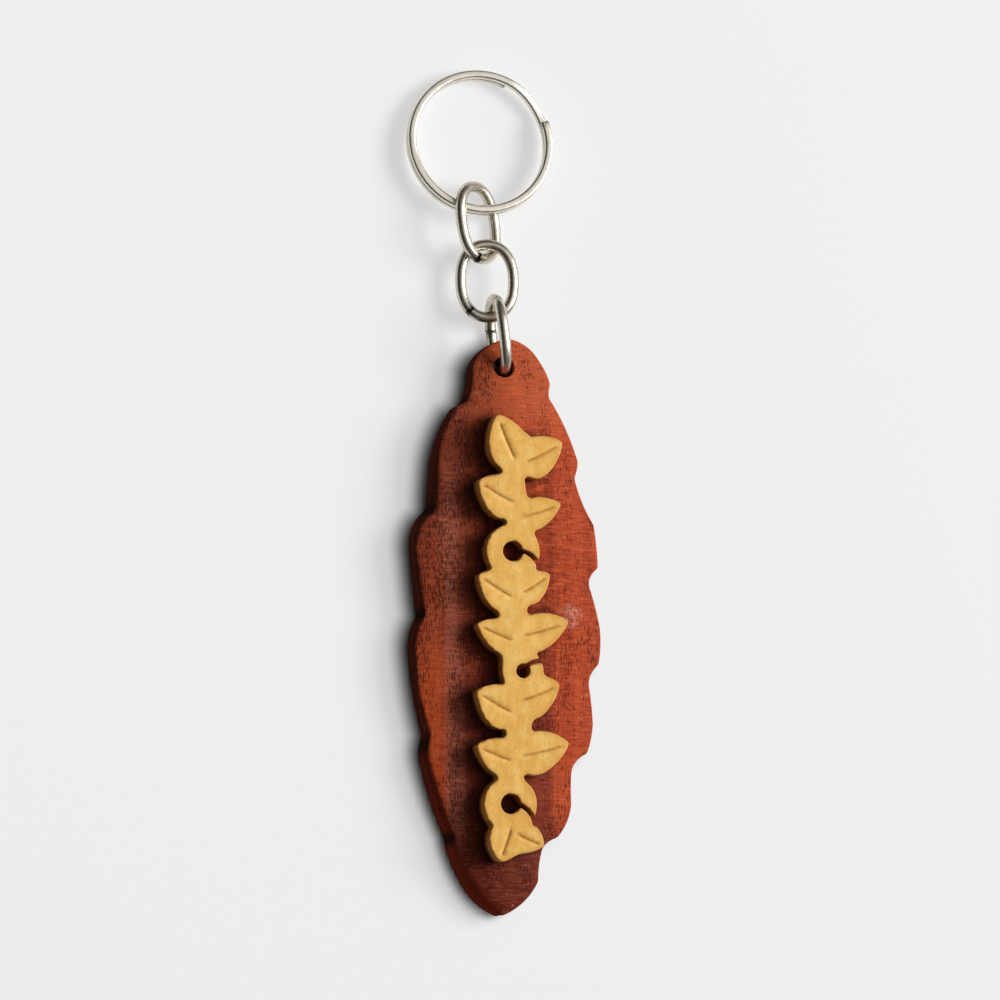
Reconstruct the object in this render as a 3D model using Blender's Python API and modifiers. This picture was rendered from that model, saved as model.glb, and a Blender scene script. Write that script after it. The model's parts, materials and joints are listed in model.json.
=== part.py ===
"""Wooden leaf-shaped key tag with a glued vine ornament, three oval chain links and a split ring.

Metres, +Z up. The object lies on its back: +Y runs from the tip of the tag to the split ring.
Dimensions below are millimetres and are scaled once, when the shapes are made. The plan is drawn from
a point close to the tag's hole and moved so that the whole object is centred on X = Y = 0.
"""
import math

import bmesh
import bpy
from mathutils import Matrix, Vector

MM = 0.001

# Whole object
PLAN_SHIFT = (-0.5, 20.815)

# Tag
TAG_THICK = 6.0
TAG_TIP_Y = -92.8
TAG_TILT = 1.63
HOLE_D = 3.5
HOLE_AT = (-0.3, -0.6)
HOLE_CHAMFER = 0.2
EDGE_ROUND = 0.45
CROWN_DROP = 1.3
CROWN_REACH = 11.0
TOP_DROP = 0.8
OUTLINE_STEP = 1.3
CUT_STEP_X = 2.6
CUT_STEP_Y = 4.0

# Front outline of the tag, clockwise from the top: x, y and the rise of the arc to the next point.
OUTLINE = [
    (0.8, 4.4, 0.72), (6.0, 1.0, 0.25), (8.0, -3.2, -0.15), (7.7, -5.5, 0.42),
    (12.8, -16.2, 0.14), (12.2, -18.9, -0.38), (15.6, -26.7, 0.15), (16.4, -34.1, -0.4),
    (14.8, -36.9, 0.12), (16.8, -44.0, 0.25), (16.6, -50.4, -0.38), (14.9, -53.6, 0.1),
    (15.7, -60.5, 0.17), (14.7, -65.4, -0.5), (12.0, -68.4, -0.1), (12.0, -73.9, 0.5),
    (9.6, -79.6, -0.3), (7.1, -81.4, -0.2), (6.5, -86.9, 0.85), (0.2, -92.8, 0.75),
    (-6.0, -87.5, 0.22), (-8.8, -81.2, -0.12), (-9.4, -79.0, 0.35), (-13.5, -66.4, 0.15),
    (-13.0, -62.8, 0.35), (-15.6, -48.3, 0.4), (-14.1, -42.8, 0.1), (-15.3, -32.9, 0.75),
    (-13.9, -25.9, -0.2), (-12.6, -24.4, 0.1), (-12.0, -16.5, 0.5), (-8.5, -7.5, -0.2),
    (-6.6, -6.1, -0.25), (-5.7, -0.5, 1.15),
]

# Ornament: a wavy stem with leaves and curled tendrils, all of one thickness.
ORN_THICK = 3.2
ORN_GLUE_GAP = 0.3
STEM_HALF = 2.3
STEM_TOP = -12.5
STEM_END = -80.0
STEM_WAVE = 0.8
STEM_PERIOD = 26.0
LEAF_POINTS = 10
LEAF_BEND = 0.14
DISC_SIDES = 28
# Leaves: foot x, foot y, direction in degrees from +X, length, width.
LEAVES = [
    (1.4, -18.6, 118, 10.2, 7.2),
    (0.6, -17.8, 20, 9.0, 7.0),
    (1.8, -24.6, 160, 8.6, 7.4),
    (0.4, -26.6, 10, 8.4, 5.6),
    (1.8, -40.6, 158, 8.6, 6.8),
    (0.6, -39.8, 26, 7.2, 5.4),
    (0.0, -46.6, 8, 10.2, 6.6),
    (1.8, -47.6, 166, 8.2, 5.6),
    (0.2, -57.6, 14, 8.8, 7.4),
    (1.8, -59.8, 160, 8.6, 7.4),
    (0.0, -66.6, 6, 10.4, 7.4),
    (1.8, -67.6, 168, 8.0, 6.4),
    (0.6, -77.2, -106, 7.2, 6.6),
    (0.4, -78.9, -30, 6.0, 5.4),
]
# Curled tendrils: centre x, centre y, mean radius, half width, angle where the curl opens.
CURLS = [
    (0.2, -32.2, 3.25, 1.55, 330),
    (2.1, -52.2, 2.45, 1.25, 22),
    (0.1, -74.4, 3.2, 1.55, 322),
]
CURL_OPENING = 0.55

# Chain links: centre-line half length and half width, roundness of the oval, wire radius.
LINK_A = 6.24
LINK_B = 4.49
LINK_POWER = 2.3
WIRE_R = 0.935
LINK_GAP = 0.22
LINK_STEPS = 48

# Link placings: centre, lean about Z, rise of the long axis, turn of the width, seam angle.
LINK_3 = dict(centre=(-0.84, 4.875, 5.4224), lean=7.46, rise=0.0, turn=91.96, seam=72.0)
LINK_2 = dict(centre=(-2.3, 14.55, 3.65), lean=1.0, rise=-1.0, turn=9.1, seam=150.0)
LINK_1 = dict(centre=(-3.866, 24.521, 3.612), lean=7.7, rise=0.0, turn=-36.6, seam=163.0)

# Split ring: two coils of one wire, stepping down between two angles.
RING_R = 11.95
RING_WIRE = (1.4, 1.3)
RING_CORNER = 0.42
RING_GAP = 0.08
RING_CENTRE = (-3.305, 38.574, 2.478)
RING_TILT = 5.355
RING_TILT_AXIS = 15.0
RING_TOP_END = 20.5
RING_LOW_END = 64.0
RING_STEP = 7.0

# Hinge points of the four moving pieces.
PIVOT_3 = (-0.4, -0.7, 5.0)
PIVOT_2 = (-2.2, 8.31, 3.76)
PIVOT_1 = (-3.26, 17.33, 4.72)
PIVOT_R = (-3.6, 27.15, 3.50)

WELD = 0.00001
SMOOTH_ANGLE = math.radians(35.0)


# ---------------------------------------------------------------- scene and objects

def clear_scene():
    for ob in list(bpy.data.objects):
        bpy.data.objects.remove(ob, do_unlink=True)


def make_collection(name):
    col = bpy.data.collections.new(name)
    bpy.context.scene.collection.children.link(col)
    return col


def make_material(name, colour, rough, metal):
    mat = bpy.data.materials.new(name)
    mat.use_nodes = True
    shader = mat.node_tree.nodes["Principled BSDF"]
    shader.inputs["Base Color"].default_value = (*colour, 1.0)
    shader.inputs["Roughness"].default_value = rough
    shader.inputs["Metallic"].default_value = metal
    return mat


def to_world(point):
    """World position of a plan point."""
    x, y, z = point
    return Vector(((x + PLAN_SHIFT[0]) * MM, (y + PLAN_SHIFT[1]) * MM, z * MM))


def place(ob, origin, turn):
    """Put an object's origin at a plan point, turned by a rotation matrix."""
    ob.matrix_world = Matrix.Translation(to_world(origin)) @ turn.to_4x4()


def add_spline(curve, points, cyclic):
    spline = curve.splines.new("POLY")
    spline.points.add(len(points) - 1)
    for slot, point in zip(spline.points, points):
        slot.co = (point[0] * MM, point[1] * MM, (point[2] if len(point) > 2 else 0.0) * MM, 1.0)
    spline.use_cyclic_u = cyclic


def flat_shape(name, loops, thick, col):
    """Plate with the given closed outlines, half its thickness above and below its own plane."""
    curve = bpy.data.curves.new(name, "CURVE")
    curve.dimensions = "2D"
    curve.fill_mode = "BOTH"
    curve.extrude = thick / 2 * MM
    for loop in loops:
        add_spline(curve, loop, True)
    ob = bpy.data.objects.new(name, curve)
    col.objects.link(ob)
    return ob


def wire_shape(name, path, col):
    """Wire along an open path, with closed ends."""
    curve = bpy.data.curves.new(name, "CURVE")
    curve.dimensions = "3D"
    curve.use_fill_caps = True
    add_spline(curve, path, False)
    ob = bpy.data.objects.new(name, curve)
    col.objects.link(ob)
    return ob


def curve_to_mesh(ob, col):
    """Replace a curve object by the welded mesh of its evaluated shape."""
    bpy.context.view_layer.update()
    depsgraph = bpy.context.evaluated_depsgraph_get()
    mesh = bpy.data.meshes.new_from_object(ob.evaluated_get(depsgraph))
    name, matrix, curve = ob.name, ob.matrix_world.copy(), ob.data
    bpy.data.objects.remove(ob, do_unlink=True)
    bpy.data.curves.remove(curve)
    mesh.name = name
    bm = bmesh.new()
    bm.from_mesh(mesh)
    bmesh.ops.remove_doubles(bm, verts=bm.verts, dist=WELD)
    bmesh.ops.recalc_face_normals(bm, faces=bm.faces)
    bm.to_mesh(mesh)
    bm.free()
    solid = bpy.data.objects.new(name, mesh)
    solid.matrix_world = matrix
    col.objects.link(solid)
    return solid


def finish(ob, mat):
    ob.data.materials.clear()
    ob.data.materials.append(mat)
    if ob.type == "MESH":
        ob.data.shade_smooth()
        ob.data.set_sharp_from_angle(angle=SMOOTH_ANGLE)


# ---------------------------------------------------------------- tag

def arc_points(p, q, rise, step):
    """Points from p up to q, not with q, on an arc that rises to the left of the way."""
    chord = math.dist(p, q)
    count = max(2, math.ceil(chord / step))
    along = ((q[0] - p[0]) / chord, (q[1] - p[1]) / chord)
    radius = (chord * chord / 4 + rise * rise) / (2 * abs(rise))
    points = []
    for k in range(count):
        run = k / count * chord
        off = run - chord / 2
        bow = math.copysign(max(0.0, math.sqrt(radius * radius - off * off) - radius + abs(rise)), rise)
        points.append((p[0] + along[0] * run - along[1] * bow, p[1] + along[1] * run + along[0] * bow))
    return points


def tag_outline():
    loop = []
    for i, (x, y, rise) in enumerate(OUTLINE):
        nx, ny, _ = OUTLINE[(i + 1) % len(OUTLINE)]
        loop += arc_points((x, y), (nx, ny), rise, OUTLINE_STEP)
    return loop


def distance_to_loop(x, y, loop):
    best = math.inf
    for (ax, ay), (bx, by) in zip(loop, loop[1:] + loop[:1]):
        dx, dy = bx - ax, by - ay
        t = min(1.0, max(0.0, ((x - ax) * dx + (y - ay) * dy) / (dx * dx + dy * dy)))
        best = min(best, math.hypot(x - ax - t * dx, y - ay - t * dy))
    return best


def front_drop(x, y, loop):
    """How far the front lies below full thickness: a crown at the edges and a thinner top end."""
    edge = max(0.0, 1 - distance_to_loop(x, y, loop) / CROWN_REACH)
    top = min(1.0, max(0.0, (y + 8.0) / 9.0))
    return CROWN_DROP * edge ** 2 + TOP_DROP * top * top * (3 - 2 * top)


def cut_front(bm, axis, start, end, step):
    """Cut the front face along parallel lines, so that it can bend."""
    spots = int((end - start) / step)
    for k in range(1, spots):
        normal = Vector((0, 0, 0))
        normal[axis] = 1.0
        at = normal * ((start + k * (end - start) / spots) * MM)
        faces = [f for f in bm.faces if f.normal.z > 0.5 and f.calc_center_median().z > 0]
        geom = faces + list({e for f in faces for e in f.edges}) + list({v for f in faces for v in f.verts})
        bmesh.ops.bisect_plane(bm, geom=geom, dist=WELD, plane_co=at, plane_no=normal)


def crown_front(ob, loop):
    bm = bmesh.new()
    bm.from_mesh(ob.data)
    xs = [p[0] for p in loop]
    ys = [p[1] for p in loop]
    cut_front(bm, 0, min(xs), max(xs), CUT_STEP_X)
    cut_front(bm, 1, min(ys), max(ys), CUT_STEP_Y)
    for v in bm.verts:
        if v.co.z > 0:
            v.co.z -= front_drop(v.co.x / MM, v.co.y / MM, loop) * MM
    bm.to_mesh(ob.data)
    bm.free()


def tag_turn():
    return Matrix.Rotation(math.radians(TAG_TILT), 3, "X")


def on_tag(x, y, z):
    """Plan point of a place given in the tag's own frame, whose back face is at z = 0."""
    lift = math.sin(math.radians(TAG_TILT)) * -TAG_TIP_Y
    point = tag_turn() @ Vector((x, y, z))
    return (point.x, point.y, point.z + lift)


def hole_cutter(col, turn):
    """Turned cutter for the hole, with a chamfer at the back and at the front."""
    r, c = HOLE_D / 2, HOLE_CHAMFER
    half = TAG_THICK / 2
    front = half - front_drop(*HOLE_AT, tag_outline())
    profile = [(0, half + 1), (r + c, half + 1), (r + c, front), (r, front - c), (r, -half + c),
               (r + c, -half), (r + c, -half - 1), (0, -half - 1)]
    mesh = bpy.data.meshes.new("hole_cutter")
    edges = [(i, i + 1) for i in range(len(profile) - 1)]
    mesh.from_pydata([(x * MM, 0, z * MM) for x, z in profile], edges, [])
    cutter = bpy.data.objects.new("hole_cutter", mesh)
    col.objects.link(cutter)
    screw = cutter.modifiers.new("Turn", "SCREW")
    screw.steps = screw.render_steps = 32
    screw.use_merge_vertices = True
    screw.merge_threshold = WELD
    place(cutter, on_tag(*HOLE_AT, half), turn)
    cutter.hide_render = True
    cutter.display_type = "WIRE"
    return cutter


def build_tag(col, guides, mat):
    loop = tag_outline()
    ob = flat_shape("tag_board", [loop], TAG_THICK - 2 * EDGE_ROUND, col)
    ob.data.bevel_depth = EDGE_ROUND * MM
    ob.data.bevel_resolution = 0
    ob.data.offset = -EDGE_ROUND * MM
    place(ob, on_tag(0, 0, TAG_THICK / 2), tag_turn())
    ob = curve_to_mesh(ob, col)
    crown_front(ob, loop)
    hole = ob.modifiers.new("Hole", "BOOLEAN")
    hole.operation = "DIFFERENCE"
    hole.object = hole_cutter(guides, tag_turn())
    finish(ob, mat)
    return ob


# ---------------------------------------------------------------- ornament

def stem_x(y):
    return 1.0 + STEM_WAVE * math.sin(2 * math.pi * (y - STEM_TOP) / STEM_PERIOD)


def stem_outline():
    """Closed outline of the wavy stem, tapered to both ends."""
    count = 30
    left, right = [], []
    for k in range(count + 1):
        y = STEM_TOP + (STEM_END - STEM_TOP) * k / count
        half = STEM_HALF * (0.75 + 0.25 * math.sin(math.pi * k / count))
        right.append((stem_x(y) + half, y))
        left.append((stem_x(y) - half, y))
    return right + left[::-1]


def leaf_outline(foot_x, foot_y, degrees, length, width):
    """Closed outline of a blunt leaf, round at its foot and bent upwards."""
    t = math.radians(degrees)
    side = []
    for k in range(LEAF_POINTS + 1):
        u = 0.5 - 0.5 * math.cos(math.pi * k / LEAF_POINTS)
        half = width / 2 * math.sin(math.pi * u ** 0.8) ** 0.72
        side.append((u * length, half))
    lower = [(u, -v) for u, v in side[1:-1]]
    bend = LEAF_BEND * math.cos(t) / length
    loop = []
    for u, v in side + lower[::-1]:
        v += bend * u * u
        loop.append((foot_x + u * math.cos(t) - v * math.sin(t), foot_y + u * math.sin(t) + v * math.cos(t)))
    return loop


def disc(name, cx, cy, radius, thick, col):
    """Flat disc in the ornament's plane."""
    bm = bmesh.new()
    move = Matrix.Translation((cx * MM, cy * MM, 0))
    bmesh.ops.create_cone(bm, cap_ends=True, segments=DISC_SIDES, radius1=radius * MM,
                          radius2=radius * MM, depth=thick * MM, matrix=move)
    mesh = bpy.data.meshes.new(name)
    bm.to_mesh(mesh)
    bm.free()
    ob = bpy.data.objects.new(name, mesh)
    col.objects.link(ob)
    return ob


def slit_outline(cx, cy, mean, half, opening):
    """Closed outline of the narrow cut that runs from a curl's eye out through its rim."""
    inner = mean - half * 1.15
    count = 7
    left, right = [], []
    for k in range(count + 1):
        t = k / count
        reach = inner + half * 2.6 * t
        wide = CURL_OPENING / 2 * (1 + 0.75 * t) / reach
        a = math.radians(opening + 34 * (1 - t))
        left.append((cx + reach * math.cos(a + wide), cy + reach * math.sin(a + wide)))
        right.append((cx + reach * math.cos(a - wide), cy + reach * math.sin(a - wide)))
    return left + right[::-1]


def as_guide(ob):
    ob.hide_render = True
    ob.display_type = "WIRE"


def combine(ob, name, operation, operands):
    """Boolean of an object with all the objects in a collection."""
    step = ob.modifiers.new(name, "BOOLEAN")
    step.operation = operation
    step.operand_type = "COLLECTION"
    step.collection = operands


def build_ornament(col, mat):
    joined = make_collection("ornament_parts")
    cuts = make_collection("ornament_cuts")
    centre = on_tag(0, 0, TAG_THICK + ORN_GLUE_GAP + ORN_THICK / 2)
    cut_thick = ORN_THICK + 2.0
    for k, leaf in enumerate(LEAVES):
        ob = flat_shape(f"leaf_{k + 1}", [leaf_outline(*leaf)], ORN_THICK, joined)
        place(ob, centre, tag_turn())
        curve_to_mesh(ob, joined)
    for k, (cx, cy, mean, half, opening) in enumerate(CURLS):
        disc(f"curl_{k + 1}", cx, cy, mean + half * 0.9, ORN_THICK, joined)
        disc(f"eye_{k + 1}", cx, cy, mean - half, cut_thick, cuts)
        ob = flat_shape(f"slit_{k + 1}", [slit_outline(cx, cy, mean, half, opening)], cut_thick, cuts)
        curve_to_mesh(ob, cuts)
    for ob in list(joined.objects) + list(cuts.objects):
        place(ob, centre, tag_turn())
        as_guide(ob)
    ob = flat_shape("vine_ornament", [stem_outline()], ORN_THICK, col)
    place(ob, centre, tag_turn())
    ob = curve_to_mesh(ob, col)
    combine(ob, "Leaves", "UNION", joined)
    combine(ob, "Curls", "DIFFERENCE", cuts)
    finish(ob, mat)
    return ob


# ---------------------------------------------------------------- chain and ring

def link_turn(where):
    """Rotation whose columns are the width, the long direction and the normal of a link."""
    lean = math.radians(where["lean"])
    rise = math.radians(where["rise"])
    turn = math.radians(where["turn"])
    along = Vector((-math.sin(lean) * math.cos(rise), math.cos(lean) * math.cos(rise), math.sin(rise)))
    width = Vector((math.cos(lean) * math.cos(turn), math.sin(lean) * math.cos(turn), math.sin(turn)))
    width = (width - along * width.dot(along)).normalized()
    return Matrix((width, along, width.cross(along))).transposed()


def link_radius(t):
    """Distance from the middle of a link to its wire's centre line, at an angle from the long axis."""
    c, s = abs(math.cos(t)), abs(math.sin(t))
    return ((c / LINK_A) ** LINK_POWER + (s / LINK_B) ** LINK_POWER) ** (-1 / LINK_POWER)


def build_link(name, where, pivot, col, mat):
    """Oval wire link, open by a hairline at its seam; the origin is on its hinge."""
    turn = link_turn(where)
    middle = turn.transposed() @ (Vector(where["centre"]) - Vector(pivot))
    seam = math.radians(where["seam"])
    half = LINK_GAP / 2 / LINK_B
    path = []
    for k in range(LINK_STEPS + 1):
        t = seam + half + (2 * math.pi - 2 * half) * k / LINK_STEPS
        r = link_radius(t)
        path.append(middle + Vector((-r * math.sin(t), r * math.cos(t), 0)))
    ob = wire_shape(name, path, col)
    ob.data.bevel_depth = WIRE_R * MM
    ob.data.bevel_resolution = 3
    place(ob, pivot, turn)
    finish(ob, mat)
    return ob


def ring_profile(guides):
    """Rounded rectangle that the ring's wire is drawn through: radial by axial."""
    curve = bpy.data.curves.new("ring_profile", "CURVE")
    curve.dimensions = "2D"
    w, h = RING_WIRE[0] / 2 - RING_CORNER, RING_WIRE[1] / 2 - RING_CORNER
    points = []
    for cx, cy, start in ((w, h, 0), (-w, h, 90), (-w, -h, 180), (w, -h, 270)):
        for k in range(3):
            a = math.radians(start + 45 * k)
            points.append((cx + RING_CORNER * math.cos(a), cy + RING_CORNER * math.sin(a)))
    add_spline(curve, points[::-1], True)
    ob = bpy.data.objects.new("ring_profile", curve)
    guides.objects.link(ob)
    as_guide(ob)
    return ob


def ring_level(degrees):
    """Height of the wire's centre; the wire runs clockwise from the end of its upper coil."""
    half = (RING_WIRE[1] + RING_GAP) / 2
    upper = 360.0 - (RING_LOW_END - RING_TOP_END)
    t = min(1.0, max(0.0, (degrees - upper) / (RING_LOW_END - RING_TOP_END)))
    return half * (1 - 2 * t * t * (3 - 2 * t))


def build_ring(col, guides, mat):
    a = math.radians(RING_TILT_AXIS)
    turn = Matrix.Rotation(math.radians(-RING_TILT), 3, Vector((math.cos(a), math.sin(a), 0)))
    middle = turn.transposed() @ (Vector(RING_CENTRE) - Vector(PIVOT_R))
    length = 720.0 - (RING_LOW_END - RING_TOP_END) - 2.25
    count = round(length / RING_STEP)
    path = []
    for k in range(count + 1):
        along = 0.75 + length * k / count
        t = math.radians(RING_TOP_END - along)
        path.append(middle + Vector((RING_R * math.cos(t), RING_R * math.sin(t), ring_level(along))))
    ob = wire_shape("split_ring", path, col)
    ob.data.twist_mode = "Z_UP"
    ob.data.bevel_mode = "OBJECT"
    ob.data.bevel_object = ring_profile(guides)
    place(ob, PIVOT_R, turn)
    finish(ob, mat)
    return ob


def main():
    clear_scene()
    col = make_collection("leaf_keychain")
    guides = make_collection("guides")
    red = make_material("red_hardwood", (0.33, 0.066, 0.028), 0.38, 0.0)
    yellow = make_material("yellow_wood", (0.68, 0.42, 0.13), 0.45, 0.0)
    chain = make_material("nickel_links", (0.62, 0.59, 0.53), 0.22, 1.0)
    ring = make_material("nickel_ring", (0.64, 0.61, 0.55), 0.25, 1.0)
    build_tag(col, guides, red)
    build_ornament(col, yellow)
    build_link("link_at_tag", LINK_3, PIVOT_3, col, chain)
    build_link("link_middle", LINK_2, PIVOT_2, col, chain)
    build_link("link_at_ring", LINK_1, PIVOT_1, col, chain)
    build_ring(col, guides, ring)


main()
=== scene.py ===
"""Looks of the keychain: a varnished leaf-shaped tag with a glued vine ornament, chain links, split ring.

Shapes are worked out in millimetres in a plan whose origin is close to the tag's hole, with +Y
towards the ring, and are moved onto the frame when the meshes are made.
"""
import json
import math

import bpy
import numpy as np
from mathutils import Matrix, Vector, noise
from mathutils.geometry import delaunay_2d_cdt


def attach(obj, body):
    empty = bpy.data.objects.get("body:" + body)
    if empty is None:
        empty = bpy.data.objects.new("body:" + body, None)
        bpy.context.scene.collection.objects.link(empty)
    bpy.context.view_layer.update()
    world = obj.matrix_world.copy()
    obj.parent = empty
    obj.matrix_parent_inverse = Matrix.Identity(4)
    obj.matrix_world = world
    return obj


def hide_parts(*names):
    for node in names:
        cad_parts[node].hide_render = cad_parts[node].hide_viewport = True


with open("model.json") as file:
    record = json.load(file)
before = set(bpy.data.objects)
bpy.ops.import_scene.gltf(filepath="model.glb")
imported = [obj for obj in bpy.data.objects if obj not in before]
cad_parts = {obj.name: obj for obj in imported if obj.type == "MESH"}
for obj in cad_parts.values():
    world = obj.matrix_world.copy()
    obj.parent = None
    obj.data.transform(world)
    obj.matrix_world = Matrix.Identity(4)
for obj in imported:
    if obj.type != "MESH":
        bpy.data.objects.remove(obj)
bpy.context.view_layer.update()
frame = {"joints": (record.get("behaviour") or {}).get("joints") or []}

MM = 0.001
JOINTS = {joint["name"]: joint for joint in frame["joints"]}
SWIVEL = Vector(JOINTS["tag_link_swivel"]["pos_m"])
TAG_NORMAL = Vector(JOINTS["tag_link_swivel"]["axis"]).normalized()
SWIVEL_AT = (-0.4, -0.7)
SHIFT = np.array((SWIVEL.x - SWIVEL_AT[0] * MM, SWIVEL.y - SWIVEL_AT[1] * MM, 0.0))

# Tag
TAG_THICK = 6.0
TAG_TIP_Y = -92.8
HOLE_R = 1.75
HOLE_AT = (-0.3, -0.6)
HOLE_STEPS = 72
# Front face: how far it falls towards the outline and over what width, and its fall near the hole.
CROWN_DROP = 1.3
CROWN_REACH = 11.0
TOP_DROP = 0.8
TOP_RANGE = (-8.0, 1.0)
# Rounded edges: front, its growth towards the tip and where that happens, back, and both rims of the hole.
EDGE_ROUND = 0.34
TIP_ROUND = 0.6
TIP_RANGE = (77.0, 87.0)
BACK_ROUND = 0.35
HOLE_FRONT_ROUND = 0.2
HOLE_BACK_ROUND = 0.25
# Worn slope along the left edges: distance below the top and width there, and steepness.
SLOPE_AT = (0.0, 14.0, 22.0, 27.0, 32.0, 42.0, 56.0, 66.0, 81.0, 88.0)
SLOPE_WIDTH = (0.3, 0.4, 1.1, 0.9, 0.3, 0.7, 0.25, 0.8, 1.1, 1.3)
SLOPE_FALL = 0.9
SLOPE_PROBE = 0.4
# Mesh: step along the outline, rows down the wall, and distances from the edges with a row of points.
OUTLINE_STEP = 0.4
WALL_ROWS = 9
EDGE_ROWS = (0.04, 0.09, 0.16, 0.26, 0.42, 0.7, 1.05)
HOLE_ROWS = (0.12, 0.28, 0.5, 0.85)
# Net of points inside: extent and step along x and y, shift of every other row, clear strip at the edge.
TAG_NET_X = (-18, 18, 0.95)
TAG_NET_Y = (-94, 6, 0.9)
TAG_NET_SHIFT = 0.47
TAG_NET_CLEAR = 1.35

# Front outline of the tag, clockwise from the top: x, y and the rise of the arc to the next point.
OUTLINE = [
    (0.8, 4.4, 0.72), (6.0, 1.0, 0.25), (8.0, -3.2, -0.15), (7.7, -5.5, 0.42),
    (12.8, -16.2, 0.14), (12.2, -18.9, -0.38), (15.6, -26.7, 0.15), (16.4, -34.1, -0.4),
    (14.8, -36.9, 0.12), (16.8, -44.0, 0.25), (16.6, -50.4, -0.38), (14.9, -53.6, 0.1),
    (15.7, -60.5, 0.17), (14.7, -65.4, -0.5), (12.0, -68.4, -0.1), (12.0, -73.9, 0.5),
    (9.6, -79.6, -0.3), (7.1, -81.4, -0.2), (6.5, -86.9, 0.85), (0.2, -92.8, 0.75),
    (-6.0, -87.5, 0.22), (-8.8, -81.2, -0.12), (-9.4, -79.0, 0.35), (-13.5, -66.4, 0.15),
    (-13.0, -62.8, 0.35), (-15.6, -48.3, 0.4), (-14.1, -42.8, 0.1), (-15.3, -32.9, 0.75),
    (-13.9, -25.9, -0.2), (-12.6, -24.4, 0.1), (-12.0, -16.5, 0.5), (-8.5, -7.5, -0.2),
    (-6.6, -6.1, -0.25), (-5.7, -0.5, 1.15),
]
# Inner corners of the outline where the saw dwelt and scorched the wood: x, y, radius.
BURNS = [
    (-13.0, -25.2, 1.9), (-14.1, -42.8, 1.5), (-13.3, -64.5, 2.1), (-9.1, -80.2, 1.9),
    (15.0, -37.0, 0.9), (15.0, -53.8, 0.9), (12.2, -68.6, 1.0), (7.3, -81.6, 1.0),
    (-7.0, -6.3, 1.1), (12.3, -18.9, 0.8), (9.5, -79.7, 0.8), (7.8, -4.6, 0.8),
]

SCUFF_AT = (11.3, -42.4, 5.8)
# Painted shadow of the ornament on the tag, along its foot and mostly on its left, away from the light: shift
# to the left and reach.
PAINTED_SHADE_LEAN = 1.1
PAINTED_SHADE_REACH = 2.1

# Ornament
ORN_TOP = 9.5
ORN_SUNK = 0.85
ORN_ROUND = 0.22
ORN_BLEND = 0.8
ORN_WALL_ROWS = 7
ORN_EDGE_STEP = 0.22
ORN_EDGE_ROWS = (0.05, 0.12, 0.2, 0.32, 0.55)
ORN_SMALLEST = 0.4
# Extent in x and y, cell of the grid that its outline is traced on, and the net of points inside.
ORN_X = (-9.5, 13.0)
ORN_Y = (-90.0, -4.0)
ORN_GRID = 0.16
ORN_NET_STEP = (0.8, 0.75)
ORN_NET_SHIFT = 0.4
# Half the distance over which the slope of the outline's distance is taken.
FACING_PROBE = 0.3
STEM_MIDDLE = 1.0
STEM_STEPS = 30
STEM_HALF = 2.3
STEM_TOP = -12.5
STEM_END = -80.0
STEM_WAVE = 0.8
STEM_PERIOD = 26.0
LEAF_POINTS = 10
LEAF_BEND = 0.14
# Powers that set how close to the foot a leaf is widest, and how full it is.
LEAF_WIDEST = 0.8
LEAF_FULL = 0.72
# Leaves: foot x, foot y, direction in degrees from +X, length, width.
LEAVES = [
    (1.4, -18.6, 118, 10.2, 7.2),
    (0.6, -17.8, 20, 9.0, 7.0),
    (1.8, -24.6, 160, 8.6, 7.4),
    (0.4, -26.6, 10, 8.4, 5.6),
    (1.8, -40.6, 158, 8.6, 6.8),
    (0.6, -39.8, 26, 7.2, 5.4),
    (0.0, -46.6, 8, 10.2, 6.6),
    (1.8, -47.6, 166, 8.2, 5.6),
    (0.2, -57.6, 14, 8.8, 7.4),
    (1.8, -59.8, 160, 8.6, 7.4),
    (0.0, -66.6, 6, 10.4, 7.4),
    (1.8, -67.6, 168, 8.0, 6.4),
    (0.6, -77.2, -106, 7.2, 6.6),
    (0.4, -78.9, -30, 6.0, 5.4),
]
# Curled tendrils: centre x, centre y, mean radius, half width, angle where the curl opens.
CURLS = [
    (0.2, -32.2, 3.25, 1.55, 330),
    (2.1, -52.2, 2.45, 1.25, 22),
    (0.1, -74.4, 3.2, 1.55, 322),
]
CURL_OPENING = 0.55
SLIT_STEPS = 7
SLIT_SWEEP = 34
# Burnt-in vein along each leaf: where it starts and ends in parts of the length, and its depth.
VEIN_FROM = 0.26
VEIN_TO = 0.84
VEIN_DEPTH = 0.2
VEIN_STEP = 0.3
# It fades over these distances from its line, and over these from the ornament's edge.
VEIN_HALF = (0.04, 0.3)
VEIN_CLEAR = (0.3, 0.9)
VEIN_ROWS = (-0.3, -0.14, 0.0, 0.14, 0.3)
VEIN_NET_GAP = 0.5

# Chain links: centre-line half length and half width, roundness of the oval, wire radius.
LINK_A = 6.24
LINK_B = 4.49
LINK_POWER = 2.3
WIRE_R = 0.935
LINK_STEPS = 240
WIRE_SIDES = 28
# Ends of the wire at a link's seam: part of the length with closer points, rounding, step between the ends.
LINK_END_PART = 0.008
LINK_END_ROUND = 0.16
LINK_END_STEP = 0.07
LINK_STEP_RANGE = (0.93, 1.0)
# Link placings: centre, lean about Z, rise of the long axis, turn of the width, seam angle, seam gap.
LINKS = {
    "link_at_tag": dict(
        centre=(-0.84, 4.875, 5.4224), lean=7.46, rise=0.0, turn=91.96, seam=72.0, gap=0.05),
    "link_middle": dict(
        centre=(-2.3, 14.55, 3.65), lean=1.0, rise=-1.0, turn=9.1, seam=150.0, gap=0.03),
    "link_at_ring": dict(
        centre=(-3.866, 24.521, 3.612), lean=7.7, rise=0.0, turn=-36.6, seam=163.0, gap=0.34),
}
# Part of a link in the hole's shade, painted dark and not metallic: it fades out over these heights and
# distances along y.
SHADE_Z = (5.0, 6.8)
SHADE_Y = (1.4, 3.0)

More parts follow.
